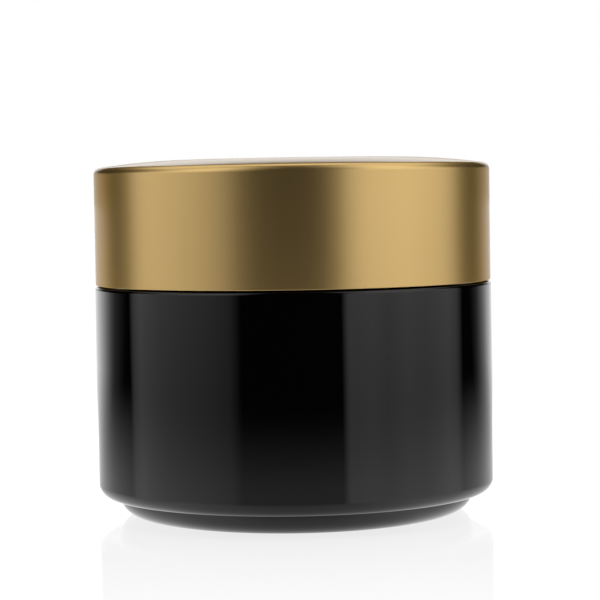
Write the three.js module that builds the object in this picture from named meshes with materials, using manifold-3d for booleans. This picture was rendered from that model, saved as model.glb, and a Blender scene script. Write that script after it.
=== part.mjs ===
// A cosmetic cream jar: heavy black glass, an inner lid, and a screw cap with an aluminium shell.
// Lengths are millimetres and +Z is up. The origin is the centre of the foot, on the table.
// Every turned piece is a profile of radius and height, drawn anticlockwise and spun about Z.

import * as THREE from 'three';
import * as BufferGeometryUtils from 'three/addons/utils/BufferGeometryUtils.js';
import Module from 'manifold-3d';

const wasm = await Module();
wasm.setup();

// Glass body
const bodyRadius = 31;
const shoulderHeight = 35.75;
const shoulderRounding = 0.65;
const heelRounding = 2;
const footStep = 3.3; // how far the foot stands in from the side
const footHeight = 3.2;
const footRoundingWidth = 4; // the foot's lower edge is rounded to an oval
const footRoundingHeight = 2.9;
const bearingWidth = 4; // the flat ring of the foot that stands on the table
const pushUp = 1.2; // how far the middle of the base is hollowed
const bodyWall = 7;
const baseThickness = 8;
const floorRounding = 7;
const throatThickness = 1.2; // glass between the shoulder and the top of the throat's slope
const throatSlope = 4.6; // the height in which the well narrows to the mouth

// Glass neck
const neckHeight = 10.9;
const neckWall = 4.2;
const neckFillet = 0.6;
const neckBeadRise = 1.9; // from the shoulder to the middle of the bead round the neck's foot
const neckBeadDepth = 0.7;
const neckBeadHalf = 0.8; // half the bead's height
const rimRounding = 0.8;

// Clearances
const seatGap = 0.3; // between a piece and what it lies on or grips
const seamGap = 0.25; // the shadow line between the cap and the shoulder
const plugClearance = 0.35; // between the inner lid and the mouth
const threadSpace = 1.5; // between the neck and the inner cap, for the two threads

// Inner lid
const lidInset = 0.3; // how far the lid's flange stays inside the neck
const lidFlange = 0.9;
const lidWall = 0.9;
const lidDish = 4.2; // depth of the plug below the flange
const lidRounding = 1.2;
const lidEdge = 0.25; // rounding of the flange's edge
const tabWidth = 16;
const tabThickness = 1.4;
const tabDrop = 0.5; // how far the finger tab stays below the flange

// Foam wad
const wadThickness = 1.5;
const wadOverhang = 0.4; // how far the wad reaches past the lid's flange
const wadEdge = 0.3;

// Inner cap
const linerWall = 1.6;
const linerTop = 1.2;
const linerFlange = 1.2;
const linerRecess = 0.8; // the inner cap's mouth is this far above the shell's lower edge
const wellWall = 1.4;
const linerFillet = 0.5;
const ribDepth = 1.8;
const ribWidth = 0.8;
const ribCount = 32;

// Balance weight
const weightThickness = 2;
const weightEdge = 0.3;

// Aluminium shell
const shellInset = 0.15; // the shell is this much smaller in radius than the glass
const shellWall = 0.45;
const shellTop = 0.5;
const shellRounding = 1.1;
const crownDrop = 1.05; // how far the shell's top falls from its flat middle to its edge
const crownWidth = 14; // the ring in which it falls

// How finely round things are made
const facets = 64;
const narrowArcSteps = 2;
const arcSteps = 4;
const wideArcSteps = 7;
const mergeDistance = 1e-5;
const overrun = 0.2; // how far joined shapes reach into each other

// Directions round a circle
const RIGHT = 0;
const UP = Math.PI / 2;
const LEFT = Math.PI;
const DOWN = -Math.PI / 2;
const FULL_TURN = 2 * Math.PI;

// Heights of the closed jar, from the table upwards
const rimHeight = shoulderHeight + neckHeight;
const lidHeight = rimHeight + seatGap;
const wadHeight = lidHeight + lidFlange + seatGap;
const linerTopHeight = wadHeight + wadThickness + seatGap;
const weightHeight = linerTopHeight + linerTop + seatGap;
const shellEdgeHeight = weightHeight + weightThickness + seatGap;
const capBaseHeight = shoulderHeight + seamGap;
const linerBaseHeight = capBaseHeight + linerRecess;

// Radii shared by the pieces, from the side of the body inwards
const shellRadius = bodyRadius - shellInset;
const shellBoreRadius = shellRadius - shellWall;
const gripRadius = shellBoreRadius - seatGap;
const linerRadius = gripRadius - ribDepth;
const wellRadius = linerRadius - wellWall;
const linerBoreRadius = linerRadius - linerWall;
const neckRadius = linerBoreRadius - threadSpace;
const lidFlangeRadius = neckRadius - lidInset;
const mouthRadius = neckRadius - neckWall;
const footRadius = bodyRadius - footStep;

const point = (radius, height) => new THREE.Vector2(radius, height);

// Points of an oval stretch of a profile, about its centre, from one direction to another.
function oval(centreRadius, centreHeight, width, height, from, to, steps = arcSteps) {
  const points = [];
  for (let i = 0; i <= steps; i++) {
    const angle = from + ((to - from) * i) / steps;
    points.push(point(centreRadius + width * Math.cos(angle), centreHeight + height * Math.sin(angle)));
  }
  return points;
}

function arc(centreRadius, centreHeight, rounding, from, to, steps) {
  return oval(centreRadius, centreHeight, rounding, rounding, from, to, steps);
}

// Points from one radius and height to another along half a cosine wave, so both ends run straight on.
function slope(fromRadius, fromHeight, toRadius, toHeight, steps = arcSteps) {
  const points = [];
  for (let i = 0; i <= steps; i++) {
    const share = i / steps;
    const blend = (1 - Math.cos(share * LEFT)) / 2;
    const radius = fromRadius + (toRadius - fromRadius) * blend;
    points.push(point(radius, fromHeight + (toHeight - fromHeight) * share));
  }
  return points;
}

// A closed solid made from any geometry, with its shared corners merged and its empty faces dropped.
function toSolid(geometry) {
  const bare = new THREE.BufferGeometry();
  bare.setAttribute('position', geometry.getAttribute('position'));
  bare.setIndex(geometry.getIndex());
  const merged = BufferGeometryUtils.mergeVertices(bare, mergeDistance);
  const corners = merged.getIndex().array;
  const kept = [];
  for (let i = 0; i < corners.length; i += 3) {
    const [a, b, c] = corners.subarray(i, i + 3);
    if (a !== b && b !== c && c !== a) kept.push(a, b, c);
  }
  const vertProperties = merged.getAttribute('position').array;
  const triVerts = new Uint32Array(kept);
  return new wasm.Manifold(new wasm.Mesh({ numProp: 3, vertProperties, triVerts }));
}

function toGeometry(solid) {
  const mesh = solid.getMesh();
  const geometry = new THREE.BufferGeometry();
  geometry.setAttribute('position', new THREE.BufferAttribute(mesh.vertProperties, 3));
  geometry.setIndex(new THREE.BufferAttribute(mesh.triVerts, 1));
  geometry.computeVertexNormals();
  return geometry;
}

// A profile spun about Z.
function turned(profile) {
  return toSolid(new THREE.LatheGeometry(profile, facets).rotateX(UP));
}

// A flat round disc with both edges bevelled, from height zero up.
function disc(radius, thickness, edge) {
  return turned([
    point(0, 0),
    point(radius - edge, 0),
    point(radius, edge),
    point(radius, thickness - edge),
    point(radius - edge, thickness),
    point(0, thickness),
  ]);
}

function glassJar() {
  const bearingOuter = footRadius - footRoundingWidth;
  const bearingInner = bearingOuter - bearingWidth;
  const cavityRadius = bodyRadius - bodyWall;
  const throatHeight = shoulderHeight - throatThickness;
  const floorEdge = cavityRadius - floorRounding;
  const hollow = [];
  for (let i = 0; i < arcSteps; i++) {
    const share = i / arcSteps;
    hollow.push(point(bearingInner * share, pushUp * (1 - share * share)));
  }
  return turned([
    ...hollow,
    point(bearingInner, 0),
    ...oval(bearingOuter, footRoundingHeight, footRoundingWidth, footRoundingHeight, DOWN, RIGHT),
    point(footRadius, footHeight),
    ...arc(bodyRadius - heelRounding, footHeight + heelRounding, heelRounding, DOWN, RIGHT),
    ...arc(bodyRadius - shoulderRounding, shoulderHeight - shoulderRounding, shoulderRounding, RIGHT, UP),
    ...arc(neckRadius + neckFillet, shoulderHeight + neckFillet, neckFillet, DOWN, -LEFT),
    ...oval(neckRadius, shoulderHeight + neckBeadRise, neckBeadDepth, neckBeadHalf, DOWN, UP),
    ...arc(neckRadius - rimRounding, rimHeight - rimRounding, rimRounding, RIGHT, UP),
    ...arc(mouthRadius + rimRounding, rimHeight - rimRounding, rimRounding, UP, LEFT),
    ...slope(mouthRadius, throatHeight, cavityRadius, throatHeight - throatSlope),
    ...arc(floorEdge, baseThickness + floorRounding, floorRounding, RIGHT, DOWN, wideArcSteps),
    point(0, baseThickness),
  ]);
}

// The finger tab is a half-round fin that stands on the floor of the dish.
function fingerTab(floor, height) {
  const outline = new THREE.Shape();
  outline.moveTo(tabWidth / 2, -overrun);
  outline.absellipse(0, 0, tabWidth / 2, height, RIGHT, LEFT, false, 0);
  outline.lineTo(-tabWidth / 2, -overrun);
  const fin = new THREE.ExtrudeGeometry(outline, {
    depth: tabThickness,
    bevelEnabled: false,
    curveSegments: wideArcSteps,
  });
  return toSolid(fin.translate(0, 0, -tabThickness / 2).rotateX(UP).translate(0, 0, floor));
}

// Height zero is the underside of the flange; the dish hangs below it in the mouth.
function sealingDisc() {
  const plugRadius = mouthRadius - plugClearance;
  const dishRadius = plugRadius - lidWall;
  const innerRounding = lidRounding - lidWall / 2;
  const floor = lidWall - lidDish;
  const dish = turned([
    point(0, -lidDish),
    ...arc(plugRadius - lidRounding, lidRounding - lidDish, lidRounding, DOWN, RIGHT),
    point(plugRadius, 0),
    ...arc(lidFlangeRadius - lidEdge, lidEdge, lidEdge, DOWN, RIGHT, narrowArcSteps),
    ...arc(lidFlangeRadius - lidEdge, lidFlange - lidEdge, lidEdge, RIGHT, UP, narrowArcSteps),
    ...arc(dishRadius + lidEdge, lidFlange - lidEdge, lidEdge, UP, LEFT, narrowArcSteps),
    ...arc(dishRadius - innerRounding, floor + innerRounding, innerRounding, RIGHT, DOWN),
    point(0, floor),
  ]);
  return dish.add(fingerTab(floor, lidFlange - floor - tabDrop));
}

function foamWad() {
  return disc(lidFlangeRadius + wadOverhang, wadThickness, wadEdge);
}

// Height zero is the mouth of the inner cap. The well on its top holds the weight.
function capLiner() {
  const top = linerTopHeight - linerBaseHeight;
  const plateTop = top + linerTop;
  const wellTop = plateTop + seatGap + weightThickness;
  let liner = turned([
    point(0, top),
    ...arc(linerBoreRadius - linerFillet, top - linerFillet, linerFillet, UP, RIGHT, narrowArcSteps),
    point(linerBoreRadius, 0),
    point(gripRadius, 0),
    point(gripRadius, linerFlange),
    point(linerRadius, linerFlange),
    point(linerRadius, wellTop),
    point(wellRadius, wellTop),
    point(wellRadius, plateTop),
    point(0, plateTop),
  ]);
  const ribHeight = plateTop - linerFlange;
  for (let i = 0; i < ribCount; i++) {
    const rib = new THREE.BoxGeometry(ribDepth + overrun, ribWidth, ribHeight + overrun);
    rib.translate(gripRadius - (ribDepth + overrun) / 2, 0, plateTop - (ribHeight + overrun) / 2);
    liner = liner.add(toSolid(rib.rotateZ((FULL_TURN * i) / ribCount)));
  }
  return liner;
}

function balanceWeight() {
  return disc(wellRadius - seatGap, weightThickness, weightEdge);
}

// A skin of the shell from its side up to its flat middle: a tight corner, then the wide arc of the crown.
function crown(sideRadius, middleHeight, rounding, cornerSteps) {
  const lean = 2 * Math.atan(crownDrop / crownWidth);
  const crownRounding = crownWidth / Math.sin(lean);
  const cornerRadius = sideRadius - rounding;
  const cornerHeight = middleHeight - crownDrop - rounding * Math.cos(lean);
  const middleRadius = cornerRadius + rounding * Math.sin(lean) - crownWidth;
  return [
    ...arc(cornerRadius, cornerHeight, rounding, RIGHT, UP - lean, cornerSteps),
    ...arc(middleRadius, middleHeight - crownRounding, crownRounding, UP - lean, UP, narrowArcSteps).slice(1),
  ];
}

// Height zero is the lower edge of the shell.
function capShell() {
  const ceiling = shellEdgeHeight + crownDrop - capBaseHeight;
  const top = ceiling + shellTop;
  return turned([
    point(0, ceiling),
    ...crown(shellBoreRadius, ceiling, shellRounding - shellWall, arcSteps).reverse(),
    point(shellBoreRadius, 0),
    point(shellRadius, 0),
    ...crown(shellRadius, top, shellRounding, wideArcSteps),
    point(0, top),
  ]);
}

// Finishes
const blackGlass = new THREE.MeshStandardMaterial({ color: 0x0b0b0d, roughness: 0.06, metalness: 0 });
const bronzeGold = new THREE.MeshStandardMaterial({ color: 0xa5814b, roughness: 0.34, metalness: 1 });
const bareSteel = new THREE.MeshStandardMaterial({ color: 0x9a9c9f, roughness: 0.38, metalness: 1 });
const whitePlastic = new THREE.MeshStandardMaterial({ color: 0xe9e8e4, roughness: 0.45, metalness: 0 });
const blackPlastic = new THREE.MeshStandardMaterial({ color: 0x141416, roughness: 0.4, metalness: 0 });
const whiteFoam = new THREE.MeshStandardMaterial({ color: 0xf1f0ec, roughness: 0.9, metalness: 0 });

function piece(name, solid, material, height) {
  const mesh = new THREE.Mesh(toGeometry(solid), material);
  mesh.name = name;
  mesh.position.z = height;
  return mesh;
}

const cap = new THREE.Group();
cap.add(piece('cap_shell', capShell(), bronzeGold, capBaseHeight));
cap.add(piece('cap_liner', capLiner(), blackPlastic, linerBaseHeight));
cap.add(piece('balance_weight', balanceWeight(), bareSteel, weightHeight));
cap.add(piece('foam_wad', foamWad(), whiteFoam, wadHeight));

const jar = new THREE.Group();
jar.add(piece('glass_jar', glassJar(), blackGlass, 0));
jar.add(piece('sealing_disc', sealingDisc(), whitePlastic, lidHeight));
jar.add(cap);

export default jar;
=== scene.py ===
import math

import bmesh
import bpy
from mathutils import Matrix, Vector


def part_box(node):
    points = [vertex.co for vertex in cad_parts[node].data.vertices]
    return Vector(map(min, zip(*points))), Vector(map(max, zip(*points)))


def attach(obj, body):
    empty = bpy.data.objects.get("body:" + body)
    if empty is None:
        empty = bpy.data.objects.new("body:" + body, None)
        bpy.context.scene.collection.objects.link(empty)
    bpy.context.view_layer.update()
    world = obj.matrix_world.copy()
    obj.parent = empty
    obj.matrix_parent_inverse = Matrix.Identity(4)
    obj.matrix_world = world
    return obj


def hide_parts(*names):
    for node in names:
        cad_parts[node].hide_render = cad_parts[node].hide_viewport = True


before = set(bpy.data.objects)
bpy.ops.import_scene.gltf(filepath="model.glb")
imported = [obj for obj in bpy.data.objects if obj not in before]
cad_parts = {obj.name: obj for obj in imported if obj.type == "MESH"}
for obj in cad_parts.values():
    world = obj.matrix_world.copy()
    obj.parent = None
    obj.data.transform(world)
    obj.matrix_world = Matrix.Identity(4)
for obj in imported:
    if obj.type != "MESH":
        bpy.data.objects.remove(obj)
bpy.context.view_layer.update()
MM = 0.001
FULL_TURN = 2 * math.pi


def reach(node):
    """A turned node's outer radius, its lowest height and its highest one."""
    low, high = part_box(node)
    return high.x, low.z, high.z


GLASS_RADIUS, TABLE, RIM = reach("glass_jar")
LID_RADIUS, LID_BOTTOM, LID_TOP = reach("sealing_disc")
WAD_RADIUS, WAD_BOTTOM, WAD_TOP = reach("foam_wad")
GRIP_RADIUS, LINER_BOTTOM, LINER_TOP = reach("cap_liner")
WEIGHT_RADIUS, WEIGHT_BOTTOM, WEIGHT_TOP = reach("balance_weight")
SHELL_RADIUS, SHELL_BOTTOM, SHELL_TOP = reach("cap_shell")

# Glass body
FOOT_RADIUS = GLASS_RADIUS - 3.3 * MM
FOOT_HEIGHT = 3.2 * MM
FOOT_ROUNDING_WIDTH = 4 * MM
FOOT_ROUNDING_HEIGHT = 2.9 * MM
BEARING_WIDTH = 4 * MM
PUSH_UP = 1.2 * MM
PUSH_UP_FLAT_SHARE = 0.5
PUSH_UP_ROUNDING = 4 * MM
BEARING_EDGE = 0.4 * MM
HEEL_ROUNDING = 2 * MM
HEEL_GROOVE = 0.25 * MM
SHOULDER = 35.87 * MM
SHOULDER_ROUNDING = 0.5 * MM
NECK_RADIUS = 25.2 * MM
NECK_FILLET = 0.6 * MM
BEAD_MIDDLE = 37.65 * MM
BEAD_DEPTH = 0.7 * MM
BEAD_HALF = 0.8 * MM
RIM_ROUNDING = 0.8 * MM
MOUTH_RADIUS = 21 * MM
THROAT = 34.55 * MM
THROAT_SLOPE = 4.6 * MM
THROAT_ROUNDING = 1.5 * MM
CAVITY_RADIUS = GLASS_RADIUS - 7 * MM
FLOOR = 8 * MM
FLOOR_ROUNDING = 7 * MM

# Screw thread: the neck's ridge and the inner cap's ridge, which hooks under it
THREAD_LEAD = 4.2 * MM
THREAD_START = 40.75 * MM
THREAD_TURNS = 0.97
THREAD_HALF = 1.15 * MM
THREAD_FADE = 0.07
THREAD_STEEPNESS = 1.6
NECK_THREAD_DEPTH = 1.05 * MM
LINER_THREAD_DEPTH = 1.1 * MM
LINER_THREAD_DROP = 1.75 * MM
THREAD_ROW = 0.15 * MM

# Inner lid
LID_FLANGE = 0.9 * MM
LID_WALL = 0.9 * MM
LID_ROUNDING = 1.2 * MM
LID_EDGE = 0.25 * MM
PLUG_RADIUS = MOUTH_RADIUS - 0.35 * MM
TAB_WIDTH = 16 * MM
TAB_THICKNESS = 1.4 * MM
TAB_DROP = 0.5 * MM
TAB_EDGE = 0.35 * MM
TAB_FLARE = 0.5 * MM
TAB_SUNK = 0.3 * MM
TAB_ARCH_STEPS = 48
TAB_EDGE_STEPS = 4
TAB_FLARE_STEPS = 5

# Foam wad
WAD_EDGE = 0.35 * MM
WAD_DENT = 0.15 * MM
DENT_EDGE = 0.4 * MM

# Inner cap
LINER_BORE = 26.7 * MM
LINER_OUTER = GRIP_RADIUS - 1.8 * MM
LINER_CEILING = WAD_TOP + 0.3 * MM
LINER_PLATE = LINER_CEILING + 1.2 * MM
LINER_FLANGE = 1.2 * MM
LINER_EDGE = 0.2 * MM
LINER_FILLET = 0.5 * MM
WELL_RADIUS = WEIGHT_RADIUS + 0.3 * MM
RIB_COUNT = 32
RIB_STEPS = 14
RIB_HALF_STEPS = 1
RIB_SLOPE = 0.06 * MM

# Weight
WEIGHT_ROLL = 0.4 * MM
WEIGHT_BURR = 0.1 * MM

# Shell
SHELL_WALL = 0.45 * MM
SHELL_ROOF = 0.5 * MM
SHELL_ROUNDING = 1.1 * MM
SHELL_LIP = 0.12 * MM
SHELL_LIFT = 0.07 * MM
CROWN_DROP = 1.05 * MM
CROWN_WIDTH = 14 * MM
CROWN_STEPS = 16

# How finely round things are made
TURN_STEPS = 256
CORNER_STEPS = 8
WHOLE = "whole"
MERGE = 1e-7
SHARP_ANGLE = math.radians(40)

# The range that most of a noise texture lies in
NOISE_LOW = 0.3
NOISE_HIGH = 0.7

# Camera, from the rings and outlines in the photograph
CAMERA_DISTANCE = 353.3 * MM
CAMERA_HEIGHT = 51.14 * MM
CAMERA_DOWN = math.radians(2.92)
CAMERA_ASIDE = math.radians(0.166)
CAMERA_ROLL = math.radians(-0.92)
FOCAL_SHARE = 2254.6 / 600
SENSOR = 36

# Studio lights: radiance by azimuth in degrees, 0 towards the camera and 90 to its right. The other
# pairs are the angles above the floor between which a light starts or ends.
BRIGHTEST = 2
SOFTBOX_FEET = [
    (-180, 0), (-108, 0), (-104, 0.6), (-98, 1), (-78, 0.8), (-50, 0.58), (-37, 0.4), (-30, 0),
    (27, 0), (30.5, 1), (45, 1.1), (54, 0.95), (67, 1.1), (80, 0.93), (98, 0.93), (106, 0.6), (112, 0),
    (180, 0),
]
SOFTBOXES = [
    (-180, 0), (-108, 0), (-98, 0.15), (-86, 0.5), (-74, 0.9), (-60, 1.1), (-45, 1.05), (-34, 0.5),
    (-24, 0), (27, 0), (36, 0.35), (46, 0.95), (60, 1.2), (75, 1.05), (90, 0.85), (102, 0.3), (112, 0),
    (180, 0),
]
BACKDROP = [
    (-180, 1.1), (-160, 1), (-150, 0.75), (-140, 0.4), (-130, 0.05), (-125, 0),
    (125, 0), (130, 0.05), (140, 0.4), (150, 0.75), (160, 1), (180, 1.1),
]
BACK_PANEL = [(-180, 1.9), (-168, 1.9), (-155, 0), (155, 0), (168, 1.9), (180, 1.9)]
SOFTBOX_START = (9, 20)
SOFTBOX_END = (62, 78)
BACKDROP_END = (5, 10)
BACK_PANEL_START = (4, 6)
BACK_PANEL_END = (13, 17)
OVERHEAD = 1.05
OVERHEAD_EDGE = (34, 48)
OVERHEAD_FRONT = (80, 90)

# Floor: what the camera sees of it, and what lights the jar from below: a lit sweep further back, by
# azimuth, a pool of light behind the jar, the jar's own shadow in front, and the lights in its gloss
FLOOR_SIZE = 6
FLOOR_GLOSS = 0.12
FLOOR_GLOSS_REACH = 120 * MM
FLOOR_GLOSS_ROUGHNESS = 0.06
FLOOR_OWN_WHITE = 0.88
FLOOR_DIFFUSE = 0.28
POOL_LIGHT = 1.4
SWEEP = [
    (-180, 0.5), (-160, 0.5), (-146, 0.75), (-138, 0.7), (-130, 0.42), (-122, 0.14), (-112, 0.03),
    (-108, 0), (118, 0), (128, 0.08), (136, 0.2), (146, 0.5), (160, 0.5), (180, 0.5),
]
SWEEP_START = 80 * MM
SWEEP_FULL = 300 * MM
POOL_BEHIND = 50 * MM
POOL_INNER = 60 * MM
POOL_OUTER = 280 * MM
SHADOW_DEPTH = 0.4
SHADOW_INNER = 45 * MM
SHADOW_OUTER = 90 * MM
SHADOW_SIDE = math.cos(math.radians(45))
MIRROR_IOR = 1.5
MIRROR_ROUGHNESS = 0.04


# Building meshes

def outline(*corners, closed=False):
    """A wire of (radius, height) corners in the XZ plane. A third number rounds the corner, and WHOLE
    rounds it in an oval that takes up all of both its sides."""
    bm = bmesh.new()
    verts = [bm.verts.new((corner[0], 0, corner[1])) for corner in corners]
    for start, end in zip(verts, verts[1:]):
        bm.edges.new((start, end))
    if closed:
        bm.edges.new((verts[-1], verts[0]))
    for vert, corner in zip(verts, corners):
        if len(corner) < 3:
            continue
        if corner[2] == WHOLE:
            amount = {"offset_type": "PERCENT", "offset": 100}
        else:
            amount = {"offset_type": "OFFSET", "offset": corner[2]}
        bmesh.ops.bevel(
            bm, geom=[vert], affect="VERTICES", segments=CORNER_STEPS, profile=0.5, material=-1,
            clamp_overlap=True, **amount)
    bmesh.ops.remove_doubles(bm, verts=bm.verts, dist=MERGE)
    return bm


def rows(bm, radius, low, high, spacing):
    """Cuts the upright edge at that radius, between two heights, into short steps."""
    edges = [
        edge for edge in bm.edges
        if all(abs(v.co.x - radius) < MERGE and low - MERGE < v.co.z < high + MERGE for v in edge.verts)
    ]
    for edge in edges:
        cuts = round(edge.calc_length() / spacing)
        bmesh.ops.subdivide_edges(bm, edges=[edge], cuts=cuts)


def turn(bm, steps=TURN_STEPS):
    """Spins an outline about Z into a closed skin with its faces outwards."""
    bmesh.ops.spin(
        bm, geom=bm.verts[:] + bm.edges[:], cent=(0, 0, 0), axis=(0, 0, 1), angle=FULL_TURN,
        steps=steps, use_merge=True)
    bmesh.ops.remove_doubles(bm, verts=bm.verts, dist=MERGE)
    bmesh.ops.recalc_face_normals(bm, faces=bm.faces)
    return bm


def fuse(bm, other):
    """Joins a second closed form to the first, and keeps only their common skin."""
    parts = []
    for form in (bm, other):
        mesh = bpy.data.meshes.new("part")
        form.to_mesh(mesh)
        form.free()
        parts.append(bpy.data.objects.new("part", mesh))
        bpy.context.scene.collection.objects.link(parts[-1])
    union = parts[0].modifiers.new("union", "BOOLEAN")
    union.operation = "UNION"
    union.solver = "EXACT"
    union.object = parts[1]
    whole = parts[0].evaluated_get(bpy.context.evaluated_depsgraph_get())
    fused = bmesh.new()
    fused.from_mesh(whole.to_mesh())
    whole.to_mesh_clear()
    for part in parts:
        bpy.data.meshes.remove(part.data)
    return fused


def set_radius(vert, radius):
    scale = radius / math.hypot(vert.co.x, vert.co.y)
    vert.co.x *= scale
    vert.co.y *= scale


def smooth_step(share):
    share = min(max(share, 0), 1)
    return share * share * (3 - 2 * share)


def thread_height(vert, start):
    """How far a thread's ridge stands out at a point, from 0 to 1. It fades in and out at its ends."""
    share = (math.atan2(vert.co.y, vert.co.x) / FULL_TURN) % 1
    along = share / THREAD_TURNS
    ends = smooth_step(along / THREAD_FADE) * smooth_step((1 - along) / THREAD_FADE)
    away = abs(vert.co.z - start - THREAD_LEAD * share) / THREAD_HALF
    return ends * smooth_step(THREAD_STEEPNESS * (1 - away))


def cut_thread(bm, radius, start, depth):
    """Moves the points of a plain wall in or out along a right-hand helix."""
    top = start + THREAD_LEAD + THREAD_HALF
    for vert in bm.verts:
        on_wall = abs(math.hypot(vert.co.x, vert.co.y) - radius) < MERGE
        if on_wall and start - THREAD_HALF < vert.co.z < top:
            set_radius(vert, radius + depth * thread_height(vert, start))


def piece(name, bm, material, node, body):
    """Makes the object that stands for a CAD node and rides on its body."""
    for face in bm.faces:
        face.smooth = True
    mesh = bpy.data.meshes.new(name)
    bm.to_mesh(mesh)
    bm.free()
    mesh.set_sharp_from_angle(angle=SHARP_ANGLE)
    mesh.materials.append(material)
    obj = bpy.data.objects.new(name, mesh)
    bpy.context.scene.collection.objects.link(obj)
    even_shading = obj.modifiers.new("even_shading", "WEIGHTED_NORMAL")
    even_shading.keep_sharp = True
    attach(obj, body)
    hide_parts(node)
    return obj


# The pieces

def glass_body():
    bearing_outer = FOOT_RADIUS - FOOT_ROUNDING_WIDTH
    bearing_inner = bearing_outer - BEARING_WIDTH
    bm = outline(
        (0, PUSH_UP),
        (bearing_inner * PUSH_UP_FLAT_SHARE, PUSH_UP, PUSH_UP_ROUNDING),
        (bearing_inner, TABLE, BEARING_EDGE),
        (bearing_outer, TABLE),
        (FOOT_RADIUS, TABLE, WHOLE),
        (FOOT_RADIUS, FOOT_ROUNDING_HEIGHT),
        (FOOT_RADIUS, FOOT_HEIGHT, HEEL_GROOVE),
        (GLASS_RADIUS, FOOT_HEIGHT, HEEL_ROUNDING),
        (GLASS_RADIUS, SHOULDER, SHOULDER_ROUNDING),
        (NECK_RADIUS, SHOULDER, NECK_FILLET),
        (NECK_RADIUS, BEAD_MIDDLE - BEAD_HALF),
        (NECK_RADIUS + BEAD_DEPTH, BEAD_MIDDLE - BEAD_HALF / 2, BEAD_HALF / 2),
        (NECK_RADIUS + BEAD_DEPTH, BEAD_MIDDLE + BEAD_HALF / 2, BEAD_HALF / 2),
        (NECK_RADIUS, BEAD_MIDDLE + BEAD_HALF),
        (NECK_RADIUS, RIM, RIM_ROUNDING),
        (MOUTH_RADIUS, RIM, RIM_ROUNDING),
        (MOUTH_RADIUS, THROAT, THROAT_ROUNDING),
        (CAVITY_RADIUS, THROAT - THROAT_SLOPE, THROAT_ROUNDING),
        (CAVITY_RADIUS, FLOOR, FLOOR_ROUNDING),
        (0, FLOOR),
    )
    rows(bm, NECK_RADIUS, BEAD_MIDDLE + BEAD_HALF, RIM, THREAD_ROW)
    turn(bm)
    cut_thread(bm, NECK_RADIUS, THREAD_START, NECK_THREAD_DEPTH)
    return bm


def lid_tab(floor, top):
    """The finger tab: a half-round fin with soft edges that widens where it grows out of the dish."""
    bm = bmesh.new()
    height = top - floor
    start = bm.verts.new((TAB_WIDTH / 2, 0, 0))
    bmesh.ops.spin(
        bm, geom=[start], cent=(0, 0, 0), axis=(0, -1, 0), angle=math.pi, steps=TAB_ARCH_STEPS)
    bmesh.ops.scale(bm, vec=(1, 1, height / (TAB_WIDTH / 2)), verts=bm.verts)
    arch = sorted(bm.verts, key=lambda v: -v.co.x)
    ends = [bm.verts.new((v.co.x, 0, -TAB_SUNK)) for v in (arch[-1], arch[0])]
    face = bm.faces.new(arch + ends)
    grown = bmesh.ops.extrude_face_region(bm, geom=[face])
    moved = [v for v in grown["geom"] if isinstance(v, bmesh.types.BMVert)]
    bmesh.ops.translate(bm, vec=(0, TAB_THICKNESS, 0), verts=moved)
    bmesh.ops.translate(bm, vec=(0, -TAB_THICKNESS / 2, floor), verts=bm.verts)
    bmesh.ops.recalc_face_normals(bm, faces=bm.faces)
    rims = [
        e for e in bm.edges
        if abs(e.verts[0].co.y - e.verts[1].co.y) < MERGE
        and max(v.co.z for v in e.verts) > floor - TAB_SUNK / 2
    ]
    bmesh.ops.bevel(
        bm, geom=rims, offset=TAB_EDGE, affect="EDGES", segments=TAB_EDGE_STEPS, profile=0.5, material=-1)
    for step in range(1, TAB_FLARE_STEPS + 1):
        bmesh.ops.bisect_plane(
            bm, geom=bm.verts[:] + bm.edges[:] + bm.faces[:], dist=MERGE,
            plane_co=(0, 0, floor + TAB_FLARE * step / TAB_FLARE_STEPS), plane_no=(0, 0, 1))
    for vert in bm.verts:
        share = smooth_step(1 - (vert.co.z - floor) / TAB_FLARE)
        vert.co.y += math.copysign(TAB_FLARE * share * share, vert.co.y)
    return bm


def inner_lid():
    dish_radius = PLUG_RADIUS - LID_WALL
    flange_bottom = LID_TOP - LID_FLANGE
    floor = LID_BOTTOM + LID_WALL
    dish = turn(outline(
        (0, LID_BOTTOM),
        (PLUG_RADIUS, LID_BOTTOM, LID_ROUNDING),
        (PLUG_RADIUS, flange_bottom, LID_EDGE),
        (LID_RADIUS, flange_bottom, LID_EDGE),
        (LID_RADIUS, LID_TOP, LID_EDGE),
        (dish_radius, LID_TOP, LID_EDGE),
        (dish_radius, floor, LID_ROUNDING - LID_WALL / 2),
        (0, floor),
    ))
    return fuse(dish, lid_tab(floor, LID_TOP - TAB_DROP))


def foam_disc():
    """The underside keeps the dent of the inner lid's flange."""
    dish_radius = PLUG_RADIUS - LID_WALL
    return turn(outline(
        (0, WAD_BOTTOM),
        (dish_radius - DENT_EDGE, WAD_BOTTOM, DENT_EDGE),
        (dish_radius + DENT_EDGE, WAD_BOTTOM + WAD_DENT, DENT_EDGE),
        (LID_RADIUS - DENT_EDGE, WAD_BOTTOM + WAD_DENT, DENT_EDGE / 2),
        (LID_RADIUS, WAD_BOTTOM, DENT_EDGE / 4),
        (WAD_RADIUS, WAD_BOTTOM + WAD_EDGE / 4, WAD_EDGE / 4),
        (WAD_RADIUS, WAD_TOP, WAD_EDGE),
        (0, WAD_TOP),
    ))


def raise_ribs(bm):
    """Moves strips of the inner cap's skirt out into the drafted ribs that grip the shell."""
    pitch = FULL_TURN / RIB_COUNT
    low = LINER_BOTTOM + LINER_FLANGE + RIB_SLOPE
    for vert in bm.verts:
        on_skirt = abs(math.hypot(vert.co.x, vert.co.y) - LINER_OUTER) < MERGE
        if on_skirt and low - MERGE < vert.co.z < LINER_PLATE - RIB_SLOPE + MERGE:
            turned = math.atan2(vert.co.y, vert.co.x) % pitch
            steps_away = round(min(turned, pitch - turned) / pitch * RIB_STEPS)
            if steps_away <= RIB_HALF_STEPS:
                set_radius(vert, GRIP_RADIUS)


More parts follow.
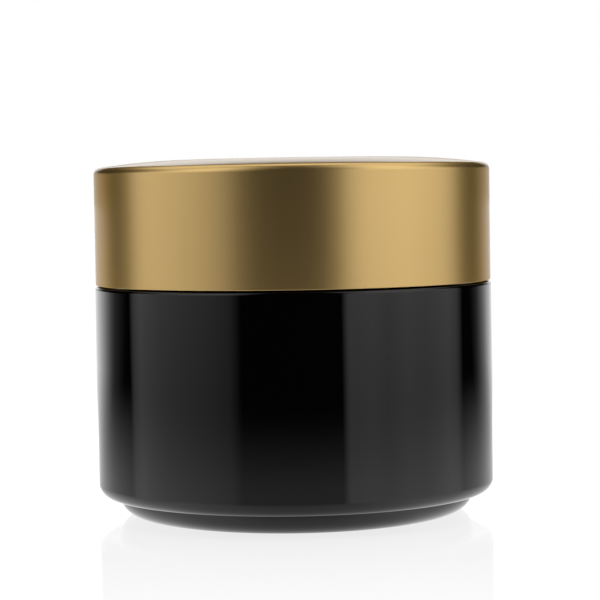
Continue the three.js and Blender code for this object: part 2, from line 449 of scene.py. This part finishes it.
def inner_cap():
    flange_top = LINER_BOTTOM + LINER_FLANGE
    bm = outline(
        (0, LINER_CEILING),
        (LINER_BORE, LINER_CEILING, LINER_FILLET),
        (LINER_BORE, LINER_BOTTOM, LINER_EDGE),
        (GRIP_RADIUS, LINER_BOTTOM, LINER_EDGE),
        (GRIP_RADIUS, flange_top, LINER_EDGE),
        (LINER_OUTER, flange_top),
        (LINER_OUTER, flange_top + RIB_SLOPE),
        (LINER_OUTER, LINER_PLATE - RIB_SLOPE),
        (LINER_OUTER, LINER_PLATE),
        (LINER_OUTER, LINER_TOP, LINER_EDGE),
        (WELL_RADIUS, LINER_TOP, LINER_EDGE),
        (WELL_RADIUS, LINER_PLATE, LINER_EDGE),
        (0, LINER_PLATE),
    )
    rows(bm, LINER_BORE, LINER_BOTTOM, LINER_CEILING, THREAD_ROW)
    turn(bm, RIB_COUNT * RIB_STEPS)
    raise_ribs(bm)
    cut_thread(bm, LINER_BORE, THREAD_START - LINER_THREAD_DROP, -LINER_THREAD_DEPTH)
    return bm


def weight_disc():
    return turn(outline(
        (0, WEIGHT_BOTTOM),
        (WEIGHT_RADIUS, WEIGHT_BOTTOM, WEIGHT_BURR),
        (WEIGHT_RADIUS, WEIGHT_TOP, WEIGHT_ROLL),
        (0, WEIGHT_TOP),
    ))


def crown(side_radius, middle_height, rounding):
    """Corners of one skin of the shell's top: a wide arc from its flat middle, then the rounded edge."""
    lean = 2 * math.atan(CROWN_DROP / CROWN_WIDTH)
    arc_radius = CROWN_WIDTH / math.sin(lean)
    edge_width = rounding * (1 - math.sin(lean))
    middle_radius = side_radius - edge_width - CROWN_WIDTH
    corners = []
    for step in range(CROWN_STEPS + 1):
        turned = lean * step / CROWN_STEPS
        fallen = arc_radius * (1 - math.cos(turned))
        corners.append((middle_radius + arc_radius * math.sin(turned), middle_height - fallen))
    edge_height = middle_height - CROWN_DROP - edge_width * math.tan(lean)
    return corners + [(side_radius, edge_height, edge_width / math.cos(lean))]


def gold_shell():
    bore = SHELL_RADIUS - SHELL_WALL
    ceiling = SHELL_TOP - SHELL_ROOF
    return turn(outline(
        (0, ceiling),
        *crown(bore, ceiling, SHELL_ROUNDING - SHELL_WALL),
        (bore, SHELL_BOTTOM + SHELL_LIFT, SHELL_LIP),
        (SHELL_RADIUS, SHELL_BOTTOM + SHELL_LIFT, SHELL_LIP),
        *reversed(crown(SHELL_RADIUS, SHELL_TOP, SHELL_ROUNDING)),
        (0, SHELL_TOP),
    ))


# Nodes

def node(tree, kind, inputs=None, **settings):
    """A shader node with its settings, and with its inputs set to values or linked to sockets."""
    made = tree.nodes.new(kind)
    for name, value in settings.items():
        setattr(made, name, value)
    for name, value in (inputs or {}).items():
        if isinstance(value, bpy.types.NodeSocket):
            tree.links.new(value, made.inputs[name])
        else:
            made.inputs[name].default_value = value
    return made


def calc(tree, operation, *values, clamp=False):
    made = tree.nodes.new("ShaderNodeMath")
    made.operation = operation
    made.use_clamp = clamp
    for socket, value in zip(made.inputs, values):
        if isinstance(value, bpy.types.NodeSocket):
            tree.links.new(value, socket)
        else:
            socket.default_value = value
    return made.outputs[0]


def fit(tree, value, low, high, to_low, to_high):
    """The value moved from one range to another, and held inside it."""
    made = node(tree, "ShaderNodeMapRange", {
        "Value": value, "From Min": low, "From Max": high, "To Min": to_low, "To Max": to_high})
    return made.outputs["Result"]


def effect_group(name, inputs, outputs):
    """An empty node group with named number inputs and outputs."""
    group = bpy.data.node_groups.new(name, "ShaderNodeTree")
    for label, value in inputs.items():
        socket = group.interface.new_socket(label, in_out="INPUT", socket_type="NodeSocketFloat")
        socket.default_value = value
    for label in outputs:
        group.interface.new_socket(label, in_out="OUTPUT", socket_type="NodeSocketFloat")
    return group, group.nodes.new("NodeGroupInput"), group.nodes.new("NodeGroupOutput")


def grain_group():
    """Fine grain and broad mottle on Object coordinates. Scales are counts of features per metre."""
    group, given, made = effect_group(
        "grain_and_mottle", {"Grain Scale": 5000, "Stretch": 1, "Mottle Scale": 60}, ["Grain", "Mottle"])
    place = node(group, "ShaderNodeTexCoord").outputs["Object"]
    split = node(group, "ShaderNodeSeparateXYZ", {"Vector": place})
    drawn = calc(group, "DIVIDE", split.outputs["X"], given.outputs["Stretch"])
    stretched = node(group, "ShaderNodeCombineXYZ", {
        "X": drawn, "Y": split.outputs["Y"], "Z": split.outputs["Z"]})
    grain = node(group, "ShaderNodeTexNoise", {
        "Vector": stretched.outputs[0], "Scale": given.outputs["Grain Scale"], "Detail": 2.0,
        "Roughness": 0.6})
    mottle = node(group, "ShaderNodeTexNoise", {
        "Vector": place, "Scale": given.outputs["Mottle Scale"], "Detail": 3.0, "Roughness": 0.55})
    group.links.new(grain.outputs["Fac"], made.inputs["Grain"])
    group.links.new(mottle.outputs["Fac"], made.inputs["Mottle"])
    return group


GRAIN = grain_group()


def new_material(name):
    material = bpy.data.materials.new(name)
    material.use_nodes = True
    tree = material.node_tree
    tree.nodes.clear()
    return material, tree


def grained(tree, scale, mottle=60, stretch=1):
    made = node(tree, "ShaderNodeGroup", node_tree=GRAIN)
    made.inputs["Grain Scale"].default_value = scale
    made.inputs["Stretch"].default_value = stretch
    made.inputs["Mottle Scale"].default_value = mottle
    return made.outputs["Grain"], made.outputs["Mottle"]


def roughness(tree, grain, low, high):
    return fit(tree, grain, NOISE_LOW, NOISE_HIGH, low, high)


def bump(tree, height, depth, strength=1):
    made = node(tree, "ShaderNodeBump", {"Height": height, "Distance": depth, "Strength": strength})
    return made.outputs["Normal"]


def blend_colours(tree, share, one, other):
    made = node(tree, "ShaderNodeMix", data_type="RGBA")
    tree.links.new(share, made.inputs["Factor"])
    made.inputs[6].default_value = (*one, 1)
    made.inputs[7].default_value = (*other, 1)
    return made.outputs[2]


def finish_material(tree, inputs):
    shader = node(tree, "ShaderNodeBsdfPrincipled", inputs)
    node(tree, "ShaderNodeOutputMaterial", {"Surface": shader.outputs[0]})


# Materials

def black_glass():
    """Opaque black glass, fire polished: a deep gloss with a faint long wave in it."""
    material, tree = new_material("black_glass")
    grain, mottle = grained(tree, 900, mottle=45)
    finish_material(tree, {
        "Base Color": blend_colours(tree, mottle, (0.0012, 0.0012, 0.0014), (0.0020, 0.0020, 0.0024)),
        "Roughness": roughness(tree, grain, 0.015, 0.03),
        "IOR": 1.52,
        "Normal": bump(tree, mottle, 0.02 * MM, 0.5),
    })
    return material


def bronze_gold():
    """Anodised aluminium, bead blasted to a fine satin under a thin clear lacquer."""
    material, tree = new_material("bronze_gold")
    grain, mottle = grained(tree, 6000, mottle=90)
    finish_material(tree, {
        "Base Color": blend_colours(tree, mottle, (0.835, 0.565, 0.215), (0.865, 0.590, 0.230)),
        "Metallic": 1.0,
        "Roughness": roughness(tree, grain, 0.325, 0.365),
        "Specular Tint": (0.32, 0.25, 0.16, 1),
        "Coat Weight": 0.4,
        "Coat Roughness": 0.08,
        "Coat IOR": 1.5,
    })
    return material


def natural_plastic():
    """Milky moulded plastic with a soft gloss."""
    material, tree = new_material("natural_plastic")
    grain, mottle = grained(tree, 2500)
    finish_material(tree, {
        "Base Color": blend_colours(tree, mottle, (0.79, 0.78, 0.745), (0.84, 0.83, 0.80)),
        "Roughness": roughness(tree, grain, 0.32, 0.42),
        "Subsurface Weight": 0.2,
        "Subsurface Radius": (1.0, 0.95, 0.85),
        "Subsurface Scale": 0.8 * MM,
        "Normal": bump(tree, grain, 0.01 * MM, 0.6),
    })
    return material


def white_foam():
    """Closed-cell foam: the cut cells show as small pits, with painted shade that makes each pit darker
    towards its bottom.
    """
    material, tree = new_material("white_foam")
    place = node(tree, "ShaderNodeTexCoord").outputs["Object"]
    cells = node(tree, "ShaderNodeTexVoronoi", {"Vector": place, "Scale": 2200.0})
    grain, mottle = grained(tree, 4000)
    # The pits' depth drives the bump and also a base colour that is darker towards each pit's bottom:
    # painted shade in the pits.
    depth = fit(tree, cells.outputs["Distance"], 0.1, 0.6, 0, 1)
    finish_material(tree, {
        "Base Color": blend_colours(tree, depth, (0.80, 0.79, 0.76), (0.90, 0.89, 0.865)),
        "Roughness": roughness(tree, grain, 0.85, 0.95),
        "Normal": bump(tree, depth, 0.08 * MM, 0.8),
    })
    return material


def bare_steel():
    """Stamped sheet with the rolling direction along X."""
    material, tree = new_material("bare_steel")
    grain, mottle = grained(tree, 3500, stretch=40)
    finish_material(tree, {
        "Base Color": blend_colours(tree, mottle, (0.46, 0.46, 0.47), (0.54, 0.54, 0.545)),
        "Metallic": 1.0,
        "Roughness": roughness(tree, grain, 0.28, 0.42),
        "Normal": bump(tree, grain, 0.01 * MM, 0.6),
    })
    return material


def black_plastic():
    """Moulded black plastic with a fine satin skin."""
    material, tree = new_material("black_plastic")
    grain, mottle = grained(tree, 4500)
    finish_material(tree, {
        "Base Color": blend_colours(tree, mottle, (0.017, 0.017, 0.019), (0.023, 0.023, 0.025)),
        "Roughness": roughness(tree, grain, 0.34, 0.46),
        "Normal": bump(tree, grain, 0.015 * MM, 0.6),
    })
    return material


# Studio

def ramp(tree, share, stops):
    """A curve of straight stretches through (place, value) stops, both from 0 to 1."""
    made = node(tree, "ShaderNodeValToRGB", {"Fac": share})
    points = made.color_ramp.elements
    while len(points) > 1:
        points.remove(points[-1])
    for index, (place, value) in enumerate(stops):
        point = points[0] if index == 0 else points.new(place)
        point.position = place
        point.color = (value, value, value, 1)
    return made.outputs["Color"]


def azimuth_share(tree, aside, towards_camera):
    """The azimuth of a direction or place as a share of a turn, which is a half towards the camera."""
    azimuth = calc(tree, "ARCTAN2", aside, towards_camera)
    return calc(tree, "MULTIPLY_ADD", azimuth, 1 / FULL_TURN, 0.5)


def light_ramp(tree, share, lights):
    """Radiance by azimuth, from (degrees, radiance) stops."""
    shade = ramp(tree, share, [(angle / 360 + 0.5, value / BRIGHTEST) for angle, value in lights])
    return calc(tree, "MULTIPLY", shade, BRIGHTEST)


def edge(tree, angle, limits, start, end):
    """A value that goes from start to end between two angles in degrees."""
    low, high = (math.radians(limit) for limit in limits)
    return fit(tree, angle, low, high, start, end)


def studio_world():
    """Two softboxes, a low backdrop, a panel behind the jar and one overhead, in the dark. The camera sees
    plain white."""
    world = bpy.data.worlds.new("studio")
    bpy.context.scene.world = world
    world.use_nodes = True
    tree = world.node_tree
    tree.nodes.clear()
    direction = node(tree, "ShaderNodeTexCoord").outputs["Generated"]
    split = node(tree, "ShaderNodeSeparateXYZ", {"Vector": direction})
    towards_camera = calc(tree, "MULTIPLY", split.outputs["Y"], -1)
    round_share = azimuth_share(tree, split.outputs["X"], towards_camera)
    climb = calc(tree, "ARCSINE", split.outputs["Z"])
    from_behind = calc(tree, "ARCTAN2", split.outputs["Z"], split.outputs["Y"])
    feet = calc(
        tree, "MULTIPLY", light_ramp(tree, round_share, SOFTBOX_FEET),
        edge(tree, climb, SOFTBOX_START, 1, 0))
    boxes = calc(
        tree, "MULTIPLY", light_ramp(tree, round_share, SOFTBOXES), edge(tree, climb, SOFTBOX_START, 0, 1))
    boxes = calc(tree, "MULTIPLY", boxes, edge(tree, climb, SOFTBOX_END, 1, 0))
    overhead = calc(
        tree, "MULTIPLY", edge(tree, climb, OVERHEAD_EDGE, 0, OVERHEAD),
        edge(tree, from_behind, OVERHEAD_FRONT, 1, 0))
    backdrop = calc(
        tree, "MULTIPLY", light_ramp(tree, round_share, BACKDROP), edge(tree, climb, BACKDROP_END, 1, 0))
    panel = calc(
        tree, "MULTIPLY", light_ramp(tree, round_share, BACK_PANEL), edge(tree, climb, BACK_PANEL_END, 1, 0))
    panel = calc(tree, "MULTIPLY", panel, edge(tree, climb, BACK_PANEL_START, 0, 1))
    sides = calc(tree, "ADD", feet, calc(tree, "MAXIMUM", backdrop, panel))
    radiance = calc(tree, "ADD", calc(tree, "MAXIMUM", boxes, overhead), sides)
    lit = node(tree, "ShaderNodeBackground", {"Color": (1, 1, 1, 1), "Strength": radiance})
    white = node(tree, "ShaderNodeBackground", {"Color": (1, 1, 1, 1), "Strength": 1.0})
    seen = node(tree, "ShaderNodeLightPath").outputs["Is Camera Ray"]
    mixed = node(tree, "ShaderNodeMixShader", {0: seen, 1: lit.outputs[0], 2: white.outputs[0]})
    node(tree, "ShaderNodeOutputWorld", {"Surface": mixed.outputs[0]})


def distance(tree, place):
    return node(tree, "ShaderNodeVectorMath", {0: place}, operation="LENGTH").outputs["Value"]


def floor_material():
    """White gloss acrylic. The camera sees it mirror the jar faintly, and more so close to its foot. The
    jar sees a pool of light on it, centred behind the jar, its own shadow in front, the lit sweep further
    back, and the lights mirrored in it."""
    material, tree = new_material("floor")
    place = node(tree, "ShaderNodeTexCoord").outputs["Object"]
    away = distance(tree, place)
    gloss = fit(tree, away, FOOT_RADIUS, FOOT_RADIUS + FLOOR_GLOSS_REACH, FLOOR_GLOSS, 0)
    own = node(tree, "ShaderNodeEmission", {"Strength": FLOOR_OWN_WHITE})
    diffuse = node(tree, "ShaderNodeBsdfDiffuse", {"Color": (FLOOR_DIFFUSE,) * 3 + (1,)})
    plain = node(tree, "ShaderNodeAddShader", {0: own.outputs[0], 1: diffuse.outputs[0]})
    faint_mirror = node(tree, "ShaderNodeBsdfGlossy", {
        "Color": (1, 1, 1, 1), "Roughness": FLOOR_GLOSS_ROUGHNESS})
    seen = node(tree, "ShaderNodeMixShader", {0: gloss, 1: plain.outputs[0], 2: faint_mirror.outputs[0]})
    from_pool = node(tree, "ShaderNodeVectorMath", {0: place, 1: (0, POOL_BEHIND, 0)}, operation="SUBTRACT")
    spread = fit(tree, distance(tree, from_pool.outputs["Vector"]), POOL_INNER, POOL_OUTER, 1, 0)
    pool = calc(tree, "MULTIPLY", calc(tree, "POWER", spread, 2), POOL_LIGHT)
    split = node(tree, "ShaderNodeSeparateXYZ", {"Vector": place})
    towards_camera = calc(tree, "MULTIPLY", split.outputs["Y"], -1)
    in_front = calc(tree, "DIVIDE", towards_camera, away)
    shadow = calc(
        tree, "MULTIPLY", fit(tree, in_front, SHADOW_SIDE, 1, 0, SHADOW_DEPTH),
        fit(tree, away, SHADOW_INNER, SHADOW_OUTER, 1, 0))
    unshaded = calc(tree, "SUBTRACT", 1, shadow)
    pool_light = node(tree, "ShaderNodeEmission", {"Strength": calc(tree, "MULTIPLY", pool, unshaded)})
    mirror = node(tree, "ShaderNodeBsdfGlossy", {"Color": (1, 1, 1, 1), "Roughness": MIRROR_ROUGHNESS})
    glancing = node(tree, "ShaderNodeFresnel", {"IOR": MIRROR_IOR}).outputs[0]
    lighting = node(
        tree, "ShaderNodeMixShader", {0: glancing, 1: pool_light.outputs[0], 2: mirror.outputs[0]})
    round_share = azimuth_share(tree, split.outputs["X"], towards_camera)
    sweep = calc(
        tree, "MULTIPLY", light_ramp(tree, round_share, SWEEP),
        fit(tree, away, SWEEP_START, SWEEP_FULL, 0, 1))
    sweep_light = node(tree, "ShaderNodeEmission", {"Strength": sweep})
    lighting = node(tree, "ShaderNodeAddShader", {0: lighting.outputs[0], 1: sweep_light.outputs[0]})
    camera_ray = node(tree, "ShaderNodeLightPath").outputs["Is Camera Ray"]
    mixed = node(tree, "ShaderNodeMixShader", {0: camera_ray, 1: lighting.outputs[0], 2: seen.outputs[0]})
    node(tree, "ShaderNodeOutputMaterial", {"Surface": mixed.outputs[0]})
    return material


def studio_floor():
    bm = bmesh.new()
    bmesh.ops.create_circle(bm, cap_ends=True, segments=64, radius=FLOOR_SIZE)
    mesh = bpy.data.meshes.new("floor")
    bm.to_mesh(mesh)
    bm.free()
    mesh.materials.append(floor_material())
    floor = bpy.data.objects.new("floor", mesh)
    bpy.context.scene.collection.objects.link(floor)


def camera():
    data = bpy.data.cameras.new("camera")
    data.sensor_width = SENSOR
    data.lens = SENSOR * FOCAL_SHARE
    data.clip_start = 10 * MM
    data.clip_end = 10
    made = bpy.data.objects.new("camera", data)
    bpy.context.scene.collection.objects.link(made)
    upright = Matrix.Rotation(math.pi / 2 - CAMERA_DOWN, 4, "X")
    aside = Matrix.Rotation(-CAMERA_ASIDE, 4, "Z")
    roll = Matrix.Rotation(CAMERA_ROLL, 4, "Z")
    place = Matrix.Translation((0, -CAMERA_DISTANCE, CAMERA_HEIGHT))
    made.matrix_world = place @ aside @ upright @ roll
    bpy.context.scene.camera = made


camera()
studio_world()
studio_floor()
bpy.context.scene.view_settings.view_transform = "Standard"

piece("glass_body", glass_body(), black_glass(), "glass_jar", "jar")
piece("inner_lid", inner_lid(), natural_plastic(), "sealing_disc", "inner_lid")
foam = piece("foam_disc", foam_disc(), white_foam(), "foam_wad", "wad")
piece("weight_disc", weight_disc(), bare_steel(), "balance_weight", "weight")
piece("inner_cap", inner_cap(), black_plastic(), "cap_liner", "cap")
piece("gold_shell", gold_shell(), bronze_gold(), "cap_shell", "cap")
